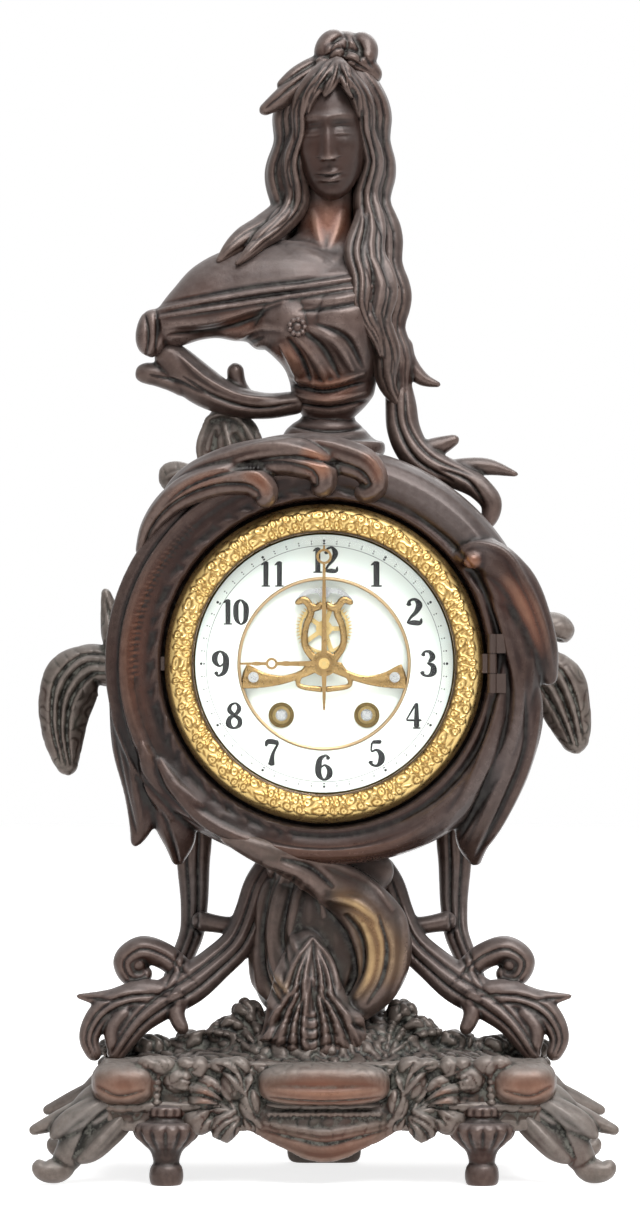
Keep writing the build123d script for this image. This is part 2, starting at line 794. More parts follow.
# Levels of the wheels, each given by its rear face
third_wheel_y = front_plate_rear_y + third_wheel_depth + wheel_thickness
second_wheel_y = front_plate_rear_y + second_wheel_depth + wheel_thickness
great_wheel_y = front_plate_rear_y + great_wheel_depth + great_thickness
center_wheel_y = front_plate_rear_y + center_wheel_depth + wheel_thickness
escape_wheel_y = front_plate_y - escape_stand_off
bridge_y = front_plate_y - bridge_stand_off
seat_rear_y = bezel_seat_y + seat_thickness
dial_ring_y = seat_rear_y
dial_face_y = dial_ring_y - dial_thickness
dial_center_y = dial_face_y + dial_center_recess + dial_center_thickness
hour_hand_y = front_plate_y - hour_hand_stand_off
minute_hand_y = hour_hand_y - hand_step
minute_wheel_y = front_plate_y - motion_stand_off
hour_wheel_y = minute_wheel_y - motion_step
pendulum_y = back_plate_rear_y + pendulum_stand_off
gong_y = drum_rear_y - gong_stand_off
hammer_pivot = (hammer_pivot_x, hammer_pivot_z)

# Movement frame: two round plates, four pillars and their nuts
winding_places = [time_place, strike_place]

with BuildPart() as front_plate:
    with BuildSketch(dial_plane(front_plate_rear_y)):
        Circle(plate_radius)
        with Locations(*pillar_places):
            Circle(pillar_tenon_radius, mode=Mode.SUBTRACT)
        with Locations(second_place, third_place):
            Circle(pivot_radius + running_gap, mode=Mode.SUBTRACT)
        with Locations(center_place, escape_place, pallet_place):
            Circle(arbor_radius + running_gap, mode=Mode.SUBTRACT)
        with Locations(*winding_places):
            Circle(winding_arbor_radius + running_gap, mode=Mode.SUBTRACT)
    extrude(amount=plate_thickness)

with BuildPart() as back_plate:
    with BuildSketch(dial_plane(back_plate_rear_y)):
        Circle(plate_radius)
        with Locations(*pillar_places):
            Circle(pillar_tenon_radius, mode=Mode.SUBTRACT)
        with Locations(center_place, second_place, third_place):
            Circle(pivot_radius + running_gap, mode=Mode.SUBTRACT)
        with Locations(pallet_place):
            Circle(arbor_radius + running_gap, mode=Mode.SUBTRACT)
        with Locations(*winding_places):
            Circle(winding_arbor_radius + running_gap, mode=Mode.SUBTRACT)
    extrude(amount=plate_thickness)
    with BuildSketch(dial_plane(gong_y + hammer_boss_length / 2)):
        with Locations(hammer_pivot):
            Circle(hammer_stud_radius)
    extrude(amount=gong_y + hammer_boss_length / 2 - back_plate_rear_y)

with BuildPart() as plate_pillars:
    with BuildSketch(dial_plane(back_plate_y)):
        with Locations(*pillar_places):
            Circle(pillar_radius)
    extrude(amount=plate_gap)
    with BuildSketch(dial_plane(back_plate_y + pillar_tenon_length)):
        with Locations(*pillar_places):
            Circle(pillar_tenon_radius)
    extrude(amount=plate_gap + 2 * pillar_tenon_length)

with BuildPart() as pillar_nuts:
    for nut_y in (front_plate_y, back_plate_rear_y + pillar_nut_height):
        with BuildSketch(dial_plane(nut_y)):
            with Locations(*pillar_places):
                RegularPolygon(pillar_nut_radius, 6)
                Circle(pillar_tenon_radius, mode=Mode.SUBTRACT)
        extrude(amount=pillar_nut_height)

write(front_plate.part, "front_plate")
write(back_plate.part, "back_plate")
write(plate_pillars.part, "plate_pillars")
write(pillar_nuts.part, "pillar_nuts")

# Spring barrels with great wheels, and the winding arbors with their ratchets
great_radius = great_teeth * great_module / 2
time_phase = 0.0
strike_phase = 180 / great_teeth


def spring_barrel(place, phase):
    """Drum with a toothed great wheel at its front end and a bore for the winding arbor."""
    outline = toothed_outline(place, great_teeth, great_module, wheel_root_share, wheel_tip_share, phase)
    with BuildPart() as barrel:
        with BuildSketch(dial_plane(great_wheel_y)):
            with BuildLine():
                Polyline(*outline, close=True)
            make_face()
        extrude(amount=great_thickness)
        with BuildSketch(dial_plane(great_wheel_y + barrel_length)):
            with Locations(place):
                Circle(barrel_radius)
        extrude(amount=barrel_length)
        with BuildSketch(dial_plane(great_wheel_y + barrel_length)):
            with Locations(place):
                Circle(winding_arbor_radius + running_gap)
        extrude(amount=barrel_length + great_thickness, mode=Mode.SUBTRACT)
    return barrel.part


def winding_arbor(place):
    """Arbor through a barrel, with a ratchet behind it and a square for the key in front."""
    tooth_step = 360 / ratchet_teeth
    ratchet_outline = []
    for tooth in range(ratchet_teeth):
        for radius in (ratchet_radius, ratchet_radius - ratchet_depth):
            x, z = polar(radius, tooth * tooth_step)
            ratchet_outline.append((place[0] + x, place[1] + z))
    with BuildPart() as arbor:
        with BuildSketch(dial_plane(back_plate_rear_y)):
            with Locations(place):
                Circle(winding_arbor_radius)
        extrude(amount=back_plate_rear_y - front_plate_y)
        with BuildSketch(dial_plane(front_plate_y)):
            with Locations(place):
                Rectangle(winding_square, winding_square)
        extrude(amount=winding_square_reach)
        with BuildSketch(dial_plane(great_wheel_y + barrel_length + ratchet_stand_off + ratchet_thickness)):
            with BuildLine():
                Polyline(*ratchet_outline, close=True)
            make_face()
        extrude(amount=ratchet_thickness)
    return arbor.part


time_barrel = spring_barrel(time_place, time_phase)
strike_barrel = spring_barrel(strike_place, strike_phase)
time_winding_arbor = winding_arbor(time_place)
strike_winding_arbor = winding_arbor(strike_place)
write(time_barrel, "time_barrel")
write(strike_barrel, "strike_barrel")
write(time_winding_arbor, "time_winding_arbor")
write(strike_winding_arbor, "strike_winding_arbor")

# Going train: second, center, third and escape arbors, each wheel set in mesh with the next
time_heading = heading(time_place, second_place)
second_pinion_phase = mesh_phase(great_teeth, time_phase, second_pinion_teeth, time_heading)
second_arbor = pinion_arbor(
    second_place,
    back_plate_y - part_gap,
    front_plate_rear_y + part_gap,
    great_wheel_y + part_gap,
    pinion_length,
    second_pinion_teeth,
    great_module,
    second_pinion_phase,
)
second_wheel = spoked_wheel(
    second_place,
    second_wheel_y,
    wheel_thickness,
    toothed_outline(second_place, second_teeth, second_module, wheel_root_share, wheel_tip_share, 0),
    second_teeth * second_module / 2 - wheel_rim_width,
    second_arbor,
)
center_pinion_phase = mesh_phase(second_teeth, 0, center_pinion_teeth, heading(second_place, center_place))
center_front_y = front_plate_rear_y + part_gap
center_arbor_body = pinion_arbor(
    center_place,
    back_plate_y - part_gap,
    center_front_y,
    second_wheel_y + part_gap,
    wheel_thickness + 2 * part_gap,
    center_pinion_teeth,
    second_module,
    center_pinion_phase,
)
with BuildPart() as center_arbor:
    add(center_arbor_body)
    with BuildSketch(dial_plane(center_front_y)):
        Circle(arbor_radius)
    extrude(amount=center_front_y - front_plate_y)
    with BuildSketch(dial_plane(center_front_y)):
        Circle(center_post_radius)
    extrude(amount=center_front_y - minute_hand_y + hand_thickness + hand_nut_height)

center_wheel = spoked_wheel(
    center_place,
    center_wheel_y,
    wheel_thickness,
    toothed_outline(center_place, center_teeth, fine_module, wheel_root_share, wheel_tip_share, 0),
    center_teeth * fine_module / 2 - wheel_rim_width,
    center_arbor.part,
)
third_pinion_phase = mesh_phase(center_teeth, 0, third_pinion_teeth, heading(center_place, third_place))
third_arbor = pinion_arbor(
    third_place,
    back_plate_y - part_gap,
    front_plate_rear_y + part_gap,
    center_wheel_y + part_gap,
    wheel_thickness + 2 * part_gap,
    third_pinion_teeth,
    fine_module,
    third_pinion_phase,
)
third_wheel = spoked_wheel(
    third_place,
    third_wheel_y,
    wheel_thickness,
    toothed_outline(third_place, third_teeth, fine_module, wheel_root_share, wheel_tip_share, 0),
    third_teeth * fine_module / 2 - wheel_rim_width,
    third_arbor,
)
write(second_wheel, "second_wheel")
write(center_wheel, "center_wheel")
write(third_wheel, "third_wheel")

# Escapement seen in the dial's opening: wheel, pallets with their crutch, rear cock and front bridge
escape_pinion_phase = mesh_phase(third_teeth, 0, escape_pinion_teeth, heading(third_place, escape_place))
escape_rear_y = third_wheel_y + 2 * part_gap
escape_arbor = pinion_arbor(
    escape_place,
    escape_rear_y,
    bridge_y + part_gap,
    third_wheel_y + part_gap,
    wheel_thickness + 2 * part_gap,
    escape_pinion_teeth,
    fine_module,
    escape_pinion_phase,
)
escape_outline = []
for tooth in range(escape_teeth):
    for radius, share in ((escape_radius, 0), (escape_radius - escape_tooth_depth, escape_root_share)):
        x, z = polar(radius, (tooth + share) * 360 / escape_teeth)
        escape_outline.append((escape_place[0] + x, escape_place[1] + z))
    x, z = polar(escape_radius - escape_tooth_depth, (tooth + escape_heel_share) * 360 / escape_teeth)
    escape_outline.append((escape_place[0] + x, escape_place[1] + z))
escape_wheel = spoked_wheel(
    escape_place,
    escape_wheel_y,
    escape_thickness,
    escape_outline,
    escape_radius - escape_tooth_depth - wheel_rim_width / 2,
    escape_arbor,
)

cock_y = escape_rear_y + part_gap + plate_thickness
with BuildPart() as escape_cock:
    with BuildSketch(dial_plane(cock_y)):
        with BuildLine():
            Line(escape_place, (cock_reach, escape_height + cock_rise))
        trace(line_width=2 * cock_half_width)
        with Locations(escape_place, (cock_reach, escape_height + cock_rise)):
            Circle(cock_half_width)
        with Locations(escape_place):
            Circle(pivot_radius + running_gap, mode=Mode.SUBTRACT)
    extrude(amount=plate_thickness)
    with BuildSketch(dial_plane(cock_y)):
        with Locations((cock_reach, escape_height + cock_rise)):
            Circle(cock_half_width)
    extrude(amount=cock_y - front_plate_rear_y)

pallet_rear_y = bridge_y + part_gap + pallet_thickness
pallet_pin_reach = escape_radius + pallet_pin_radius + pallet_pin_gap
pallet_tips = [
    (side * pallet_pin_reach * math.sin(math.radians(pallet_pin_angle)),
     escape_height + pallet_pin_reach * math.cos(math.radians(pallet_pin_angle)))
    for side in (-1, 1)
]
crutch_y = back_plate_rear_y + crutch_stand_off
with BuildPart() as pallet_anchor:
    with BuildSketch(dial_plane(pallet_rear_y)):
        with Locations(pallet_place):
            Circle(pallet_boss_radius)
        for side, tip in zip((-1, 1), pallet_tips):
            with BuildLine():
                Spline(
                    pallet_place,
                    (side * pallet_wing_reach * pallet_elbow_share, pallet_height),
                    (side * pallet_wing_reach, tip[1]),
                )
            trace(line_width=pallet_arm_width)
            with BuildLine():
                Line((side * pallet_wing_reach, tip[1]), tip)
            trace(line_width=pallet_arm_width)
            with Locations((side * pallet_wing_reach, tip[1]), tip):
                Circle(pallet_arm_width / 2)
    extrude(amount=pallet_thickness)
    with BuildSketch(dial_plane(pallet_rear_y + pallet_pin_length)):
        with Locations(*pallet_tips):
            Circle(pallet_pin_radius)
    extrude(amount=pallet_pin_length + pallet_thickness)

with BuildPart() as pallet_arbor:
    with BuildSketch(dial_plane(crutch_y)):
        with Locations(pallet_place):
            Circle(arbor_radius)
    extrude(amount=crutch_y - pallet_rear_y)
    with BuildSketch(dial_plane(pallet_rear_y)):
        with Locations(pallet_place):
            Circle(pivot_radius)
    extrude(amount=pallet_thickness + part_gap + bridge_thickness)
    with BuildSketch(dial_plane(crutch_y)):
        with Locations((0, pallet_height - crutch_length / 2)):
            Rectangle(2 * crutch_wire_radius, crutch_length)
    extrude(amount=2 * crutch_wire_radius)
    crutch_fork_y = pendulum_y + pendulum_rod_radius + part_gap
    with BuildSketch(dial_plane(crutch_fork_y)):
        for side in (-1, 1):
            with Locations((side * crutch_fork_half_width, pallet_height - crutch_length)):
                Rectangle(2 * crutch_wire_radius, 2 * crutch_wire_radius)
    extrude(amount=crutch_fork_y - crutch_y + 2 * crutch_wire_radius)
    with BuildSketch(dial_plane(crutch_y)):
        with Locations((0, pallet_height - crutch_length)):
            Rectangle(2 * crutch_fork_half_width, 2 * crutch_wire_radius)
    extrude(amount=2 * crutch_wire_radius)
with BuildPart() as pallet_anchor_bored:
    add(pallet_anchor.part)
    with BuildSketch(dial_plane(pallet_rear_y)):
        with Locations(pallet_place):
            Circle(pivot_radius)
    extrude(amount=pallet_thickness, mode=Mode.SUBTRACT)

bridge_hub_top = math.sqrt(bridge_hub_radius**2 - bridge_rail_width**2)
bridge_shoulder = pallet_height * bridge_shoulder_share
with BuildPart() as escapement_bridge:
    with BuildSketch(dial_plane(bridge_y)):
        Circle(bridge_hub_radius)
        with BuildLine():
            Polyline((-bridge_boat_half_width, 0), (bridge_boat_half_width, 0))
            ThreePointArc((bridge_boat_half_width, 0), (0, -bridge_boat_drop), (-bridge_boat_half_width, 0))
        make_face()
        for side in (-1, 1):
            foot = (side * bridge_screw_reach, -bridge_screw_drop)
            with BuildLine():
                Polyline(
                    (0, bridge_rail_width),
                    (side * bridge_boat_half_width, bridge_rail_width),
                    (foot[0], foot[1] + bridge_foot_radius),
                    (foot[0], foot[1] - bridge_foot_radius),
                    (side * bridge_boat_half_width, -2 * bridge_rail_width),
                    (0, -2 * bridge_rail_width),
                    close=True,
                )
            make_face()
            with Locations(foot):
                Circle(bridge_foot_radius)
            with BuildLine():
                Polyline(
                    (side * bridge_hub_radius * bridge_rail_share, bridge_hub_top * bridge_rail_share),
                    (side * bridge_tower_half_width, escape_height * bridge_rail_share),
                    (side * bridge_tower_waist, escape_height),
                    (side * bridge_tower_half_width * bridge_rail_share, bridge_shoulder),
                    (side * bridge_top_boss_radius * bridge_rail_share, pallet_height),
                )
            trace(line_width=bridge_rail_width)
        with BuildLine():
            Line((-bridge_tower_waist, escape_height), (bridge_tower_waist, escape_height))
        trace(line_width=2 * bridge_rail_width)
        with Locations(escape_place):
            Circle(escape_hub_radius)
        with Locations(pallet_place):
            Circle(bridge_top_boss_radius)
        Circle(bridge_hub_bore, mode=Mode.SUBTRACT)
        with Locations(escape_place, pallet_place):
            Circle(pivot_radius + running_gap, mode=Mode.SUBTRACT)
        with Locations(*bridge_post_places):
            Circle(bridge_screw_radius, mode=Mode.SUBTRACT)
    extrude(amount=bridge_thickness)

with BuildPart() as front_posts:
    with BuildSketch(dial_plane(front_plate_y)):
        with Locations(*bridge_post_places):
            Circle(bridge_post_radius)
            Circle(bridge_screw_radius, mode=Mode.SUBTRACT)
    extrude(amount=bridge_stand_off)
    with BuildSketch(dial_plane(front_plate_y)):
        with Locations(*dial_post_places):
            Circle(dial_post_radius)
    extrude(amount=front_plate_y - dial_ring_y - dial_pan_thickness)
    with BuildSketch(dial_plane(front_plate_y)):
        with Locations(motion_place):
            Circle(pivot_radius)
    extrude(amount=motion_stand_off + motion_step + motion_wheel_thickness + 2 * part_gap)

with BuildPart() as bridge_screws:
    with BuildSketch(dial_plane(front_plate_y)):
        with Locations(*bridge_post_places):
            Circle(bridge_screw_radius)
    extrude(amount=bridge_stand_off + bridge_thickness)
    with BuildSketch(dial_plane(bridge_y - bridge_thickness)):
        with Locations(*bridge_post_places):
            Circle(bridge_screw_head_radius)
    extrude(amount=bridge_screw_head_height)
    with BuildSketch(dial_plane(bridge_y - bridge_thickness - bridge_screw_head_height)):
        with Locations(*bridge_post_places):
            Rectangle(2 * bridge_screw_head_radius + cut_overrun / 2, screw_slot_width)
    extrude(amount=-screw_slot_depth, mode=Mode.SUBTRACT)

write(escape_wheel, "escape_wheel")
write(escape_cock.part, "escape_cock")
write(pallet_anchor_bored.part, "pallet_anchor")
write(pallet_arbor.part, "pallet_arbor")
write(escapement_bridge.part, "escapement_bridge")
write(front_posts.part, "front_posts")
write(bridge_screws.part, "bridge_screws")

# Motion work: the cannon pinion drives the minute wheel, whose pinion drives the hour wheel
cannon_radius = center_post_radius + running_gap + cannon_wall
hour_bore_radius = cannon_radius + running_gap
hour_pipe_radius = hour_bore_radius + hour_pipe_wall
cannon_rear_y = front_plate_y - running_gap
minute_phase = mesh_phase(cannon_teeth, 0, minute_wheel_teeth, motion_angle)
hour_phase = mesh_phase(minute_pinion_teeth, 0, hour_wheel_teeth, motion_angle + 180)
with BuildPart() as cannon_pinion:
    with BuildSketch(dial_plane(cannon_rear_y)):
        with BuildLine():
            Polyline(
                *toothed_outline(
                    center_place, cannon_teeth, cannon_module, pinion_root_share, pinion_tip_share, 0
                ),
                close=True,
            )
        make_face()
    extrude(amount=motion_stand_off + motion_wheel_thickness)
    with BuildSketch(dial_plane(cannon_rear_y)):
        Circle(cannon_radius)
    extrude(amount=cannon_rear_y - minute_hand_y + hand_thickness)
    with BuildSketch(dial_plane(cannon_rear_y)):
        Circle(center_post_radius + running_gap)
    extrude(amount=cannon_rear_y - minute_hand_y + hand_thickness + cut_overrun, mode=Mode.SUBTRACT)

with BuildPart() as minute_wheel:
    with BuildSketch(dial_plane(minute_wheel_y)):
        with BuildLine():
            Polyline(
                *toothed_outline(
                    motion_place,
                    minute_wheel_teeth,
                    cannon_module,
                    wheel_root_share,
                    wheel_tip_share,
                    minute_phase,
                ),
                close=True,
            )
        make_face()
    extrude(amount=motion_wheel_thickness)
    with BuildSketch(dial_plane(minute_wheel_y)):
        with BuildLine():
            Polyline(
                *toothed_outline(
                    motion_place, minute_pinion_teeth, hour_module, pinion_root_share, pinion_tip_share, 0
                ),
                close=True,
            )
        make_face()
    extrude(amount=motion_step + motion_wheel_thickness + part_gap)
    with BuildSketch(dial_plane(front_plate_y)):
        with Locations(motion_place):
            Circle(pivot_radius + running_gap)
    extrude(amount=cut_overrun, mode=Mode.SUBTRACT)

with BuildPart() as hour_wheel:
    with BuildSketch(dial_plane(hour_wheel_y)):
        with BuildLine():
            Polyline(
                *toothed_outline(
                    center_place,
                    hour_wheel_teeth,
                    hour_module,
                    wheel_root_share,
                    wheel_tip_share,
                    hour_phase,
                ),
                close=True,
            )
        make_face()
    extrude(amount=motion_wheel_thickness)
    with BuildSketch(dial_plane(hour_wheel_y)):
        Circle(hour_pipe_radius)
    extrude(amount=hour_wheel_y - hour_hand_y + hand_thickness)
    with BuildSketch(dial_plane(hour_wheel_y)):
        Circle(hour_bore_radius)
    extrude(amount=hour_wheel_y - hour_hand_y + cut_overrun, mode=Mode.SUBTRACT)

write(cannon_pinion.part, "cannon_pinion")
write(minute_wheel.part, "minute_wheel")
write(hour_wheel.part, "hour_wheel")

# Hands: a pierced hour hand at nine, a slim minute hand at twelve, and the nut that holds them
with BuildPart() as hour_hand:
    with BuildSketch(dial_plane(hour_hand_y)):
        with BuildLine():
            Polyline(
                (0, hand_root_width / 2),
                (-hour_hand_length, hand_tip_width / 2),
                (-hour_hand_length, -hand_tip_width / 2),
                (0, -hand_root_width / 2),
                close=True,
            )
        make_face()
        Circle(hand_boss_radius)
        for place_share, radius_share in hour_ornament_shares:
            with Locations((-hour_ring_place * place_share, 0)):
                Ellipse(hour_ring_radius, hour_ring_radius * radius_share)
        with Locations((-hour_ring_place, 0)):
            Circle(hour_ring_radius - hand_ring_width, mode=Mode.SUBTRACT)
        Circle(hour_pipe_radius, mode=Mode.SUBTRACT)
    extrude(amount=hand_thickness)

with BuildPart() as minute_hand:
    with BuildSketch(dial_plane(minute_hand_y)):
        with BuildLine():
            Polyline(
                (-hand_root_width / 2, 0),
                (-hand_tip_width / 2, minute_hand_length),
                (hand_tip_width / 2, minute_hand_length),
                (hand_root_width / 2, 0),
                (hand_tip_width / 2, -minute_tail_length),
                (-hand_tip_width / 2, -minute_tail_length),
                close=True,
            )
        make_face()
        Circle(hand_boss_radius)
        with Locations((0, minute_ring_place)):
            Circle(minute_ring_radius)
            Circle(minute_ring_radius - hand_ring_width, mode=Mode.SUBTRACT)
        Circle(cannon_radius, mode=Mode.SUBTRACT)
    extrude(amount=hand_thickness)

with BuildPart() as hand_nut:
    with BuildSketch(dial_plane(minute_hand_y - hand_thickness - running_gap)):
        Circle(hand_nut_radius)
        Circle(center_post_radius, mode=Mode.SUBTRACT)
    extrude(amount=hand_nut_height)

write(hour_hand.part, "hour_hand")
write(minute_hand.part, "minute_hand")
write(hand_nut.part, "hand_nut")

# Dial: chapter ring on a brass pan, inner brass ring, recessed centre and winding grommets
with BuildPart() as dial_ring:
    with BuildSketch(dial_plane(dial_ring_y)):
        Circle(dial_ring_radius)
        Circle(dial_ring_inner, mode=Mode.SUBTRACT)
    extrude(amount=dial_thickness)

with BuildPart() as dial_pan:
    with BuildSketch(dial_plane(dial_ring_y + dial_pan_thickness)):
        Circle(dial_pan_radius)
        Circle(dial_center_radius, mode=Mode.SUBTRACT)
    extrude(amount=dial_pan_thickness)

with BuildPart() as dial_center:
    with BuildSketch(dial_plane(dial_center_y)):
        Circle(dial_center_radius - running_gap)
        Circle(hour_pipe_radius + part_gap, mode=Mode.SUBTRACT)
        with Locations(*winding_places):
            Circle(grommet_radius - grommet_lip, mode=Mode.SUBTRACT)
        with Locations(escape_place, pallet_place):
            Circle(arbor_radius + part_gap, mode=Mode.SUBTRACT)
        with Locations(*bridge_post_places):
            Circle(bridge_post_radius, mode=Mode.SUBTRACT)
    extrude(amount=dial_center_thickness)

with BuildPart() as dial_inner_ring:
    with BuildSketch(dial_plane(dial_face_y)):
        Circle(dial_ring_inner + inner_ring_width)
        Circle(dial_ring_inner - inner_ring_width, mode=Mode.SUBTRACT)
    extrude(amount=inner_ring_thickness)
    with BuildSketch(dial_plane(dial_face_y)):
        Circle(dial_ring_inner)
        Circle(dial_ring_inner - inner_ring_width, mode=Mode.SUBTRACT)
    extrude(amount=dial_face_y - dial_center_y + dial_center_thickness)

with BuildPart() as winding_grommets:
    with BuildSketch(dial_plane(dial_center_y)):
        with Locations(*winding_places):
            Circle(grommet_radius - grommet_lip)
            Circle(grommet_bore, mode=Mode.SUBTRACT)
    extrude(amount=dial_center_thickness + grommet_lip_height)
    with BuildSketch(dial_plane(dial_center_y - dial_center_thickness)):
        with Locations(*winding_places):
            Circle(grommet_radius)
            Circle(grommet_bore, mode=Mode.SUBTRACT)
    extrude(amount=grommet_lip_height)

write(dial_ring.part, "dial_ring")
write(dial_pan.part, "dial_pan")
write(dial_center.part, "dial_center")
write(dial_inner_ring.part, "dial_inner_ring")
write(winding_grommets.part, "winding_grommets")

# Bezel with its bevelled glass, retaining ring, hinge and thumb tab


def ring_plane():
    """Half plane through the dial axis: local x is the radius and local y runs towards the viewer."""
    return Plane(origin=(0, bezel_seat_y, dial_height), x_dir=(1, 0, 0), z_dir=(0, 0, 1))


dial_axis = Axis((0, bezel_seat_y, dial_height), (0, -1, 0))
lip_top = bezel_height - bezel_inner_drop
lip_rear = lip_top - bezel_lip_height
crest_radius = bezel_sight_radius + (bezel_radius - bezel_sight_radius) * bezel_crest_share
glass_front = lip_rear + glass_bevel_depth
glass_rear = glass_front - glass_thickness
hinge_x = bezel_radius + hinge_reach
hinge_y = bezel_seat_y - hinge_forward
knuckle = hinge_length / 3


def revolved(corners):
    """Ring turned about the dial axis from corners given as (radius, height ahead of the bezel's seat)."""
    with BuildPart() as ring:
        with BuildSketch(ring_plane()):
            with BuildLine():
                Polyline(*[(radius, -height) for radius, height in corners], close=True)
            make_face()
        revolve(axis=dial_axis)
    return ring.part


with BuildPart() as bezel:
    with BuildSketch(ring_plane()):
        with BuildLine():
            Polyline(
                (bezel_sight_radius, -lip_top),
                (bezel_sight_radius, -lip_rear),
                (glass_radius, -lip_rear),
                (glass_radius, -running_gap),
                (bezel_radius, -running_gap),
                (bezel_radius, -bezel_edge_height),
            )
            Spline(
                (bezel_radius, -bezel_edge_height),
                (crest_radius, -bezel_height),
                (bezel_sight_radius, -lip_top),
            )
        make_face()
    revolve(axis=dial_axis)
    with BuildSketch(Plane.XY.offset(dial_height - knuckle / 2 + part_gap / 2)):
        with Locations((hinge_x, hinge_y)):
            Circle(hinge_barrel_radius)
        with Locations((hinge_x, hinge_y)):
            Rectangle(2 * hinge_reach, hinge_leaf_thickness, align=(Align.MAX, Align.CENTER))
        with Locations((hinge_x, hinge_y)):
            Circle(hinge_pin_radius + running_gap, mode=Mode.SUBTRACT)
    extrude(amount=knuckle - part_gap)
    with Locations((-bezel_radius, bezel_seat_y - part_gap, dial_height)):
        Box(
            2 * latch_reach,
            latch_height,
            latch_width,
            align=(Align.CENTER, Align.MAX, Align.CENTER),
        )
    with BuildSketch(ring_plane()):
        with Locations((0, -running_gap)):
            Rectangle(glass_radius, lip_rear - running_gap, align=(Align.MIN, Align.MAX))
    revolve(axis=dial_axis, mode=Mode.SUBTRACT)

bezel_glass = revolved(
    (
        (0, glass_rear),
        (glass_radius - glass_gap, glass_rear),
        (glass_radius - glass_gap, lip_rear),
        (bezel_sight_radius - glass_gap, lip_rear),
        (bezel_sight_radius - glass_gap - glass_bevel_width, glass_front),
        (0, glass_front),
    )
)
glass_retainer = revolved(
    (
        (glass_radius - retainer_width, glass_rear),
        (glass_radius, glass_rear),
        (glass_radius, glass_rear - retainer_height),
        (glass_radius - retainer_width, glass_rear - retainer_height),
    )
)
# Case: a moulded front ring, the drum behind it and the hinged back door
with BuildPart() as case_front:
    with BuildSketch(ring_plane()):
        with BuildLine():
            Polyline(
                (case_cove_radius, 0),
                (case_opening_radius, 0),
                (case_opening_radius, seat_thickness),
                (case_cove_radius + case_wall, seat_thickness),
                (case_crest_radius - case_wall / 2, case_wall - case_crest_height),
                (case_radius - case_wall, case_crest_height),
                (drum_radius, case_collar_front),
                (drum_radius, case_front_rear_y - bezel_seat_y),
                (drum_radius + case_wall, case_front_rear_y - bezel_seat_y),
            )
            Spline(
                (drum_radius + case_wall, case_front_rear_y - bezel_seat_y),
                (case_radius, case_crest_height),
                (case_crest_radius, -case_crest_height),
                (case_cove_radius, 0),
            )
        make_face()
    revolve(axis=dial_axis)

with BuildPart() as bezel_hinge:
    for level in (-1, 1):
        with BuildSketch(Plane.XY.offset(dial_height + level * knuckle - knuckle / 2 + part_gap / 2)):
            with Locations((hinge_x, hinge_y)):
                Circle(hinge_barrel_radius)
            with Locations((hinge_x, hinge_y - hinge_leaf_thickness / 2)):
                Rectangle(
                    hinge_leaf_reach,
                    hinge_forward,
                    align=(Align.MIN, Align.MIN),
                )
        extrude(amount=knuckle - part_gap)
    with BuildSketch(Plane.XY.offset(dial_height - hinge_length / 2)):
        with Locations((hinge_x, hinge_y)):
            Circle(hinge_pin_radius)
    extrude(amount=hinge_length)
    add(case_front.part, mode=Mode.SUBTRACT)

with BuildPart() as case_drum:
    with BuildSketch(ring_plane()):
        with BuildLine():
            Polyline(
                (drum_radius, case_collar_front),
                (drum_radius, drum_rear_y - bezel_seat_y),
                (drum_radius - drum_lip, drum_rear_y - bezel_seat_y),
                (drum_radius - drum_lip, drum_rear_y - bezel_seat_y - drum_wall),
                (drum_radius - drum_wall, drum_rear_y - bezel_seat_y - drum_wall),
                (drum_radius - drum_wall, case_collar_front),
                close=True,
            )
        make_face()
    revolve(axis=dial_axis)

door_hinge_x = -back_door_radius - door_hinge_reach
door_hinge_y = drum_rear_y + door_hinge_barrel_radius + running_gap
door_knuckle = door_hinge_length / 3
door_seat = bezel_seat_y - drum_rear_y - running_gap
with BuildPart() as back_door:
    with BuildSketch(ring_plane()):
        with BuildLine():
            Polyline(
                (0, -door_seat + back_door_dome),
                (sound_hole_circle_radius + drum_lip, -door_seat + back_door_dome),
                (drum_radius - drum_lip, -door_seat),
                (back_door_radius, -door_seat),
                (back_door_radius, -door_seat + back_door_thickness),
                (drum_radius - drum_lip, -door_seat + back_door_thickness),
                (sound_hole_circle_radius + drum_lip, -door_seat + back_door_dome + back_door_thickness),
                (0, -door_seat + back_door_dome + back_door_thickness),
                close=True,
            )
        make_face()
    revolve(axis=dial_axis)
    with BuildSketch(dial_plane(drum_rear_y + back_door_dome + back_door_thickness + cut_overrun)):
        with PolarLocations(sound_hole_circle_radius, sound_hole_count):
            Circle(sound_hole_radius)
        with Locations((door_knob_place, 0)):
            Circle(door_stem_radius)
    extrude(amount=2 * cut_overrun + back_door_dome + back_door_thickness, mode=Mode.SUBTRACT)
    with BuildSketch(Plane.XY.offset(dial_height - door_knuckle / 2 + part_gap / 2)):
        with Locations((door_hinge_x, door_hinge_y)):
            Circle(door_hinge_barrel_radius)
        with Locations((door_hinge_x, drum_rear_y + running_gap)):
            Rectangle(3 * door_hinge_reach, back_door_thickness, align=(Align.MIN, Align.MIN))
        with Locations((door_hinge_x, door_hinge_y)):
            Circle(hinge_pin_radius + running_gap, mode=Mode.SUBTRACT)
    extrude(amount=door_knuckle - part_gap)

with BuildPart() as back_door_knob:
    with BuildSketch(dial_plane(drum_rear_y + back_door_thickness + running_gap + door_knob_length)):
        with Locations((door_knob_place, 0)):
            Circle(door_knob_radius)
    extrude(amount=door_knob_length)
    with BuildSketch(dial_plane(drum_rear_y + back_door_thickness + running_gap + door_knob_length)):
        with Locations((door_knob_place, 0)):
            Circle(door_stem_radius)
    extrude(amount=door_knob_length + back_door_thickness)

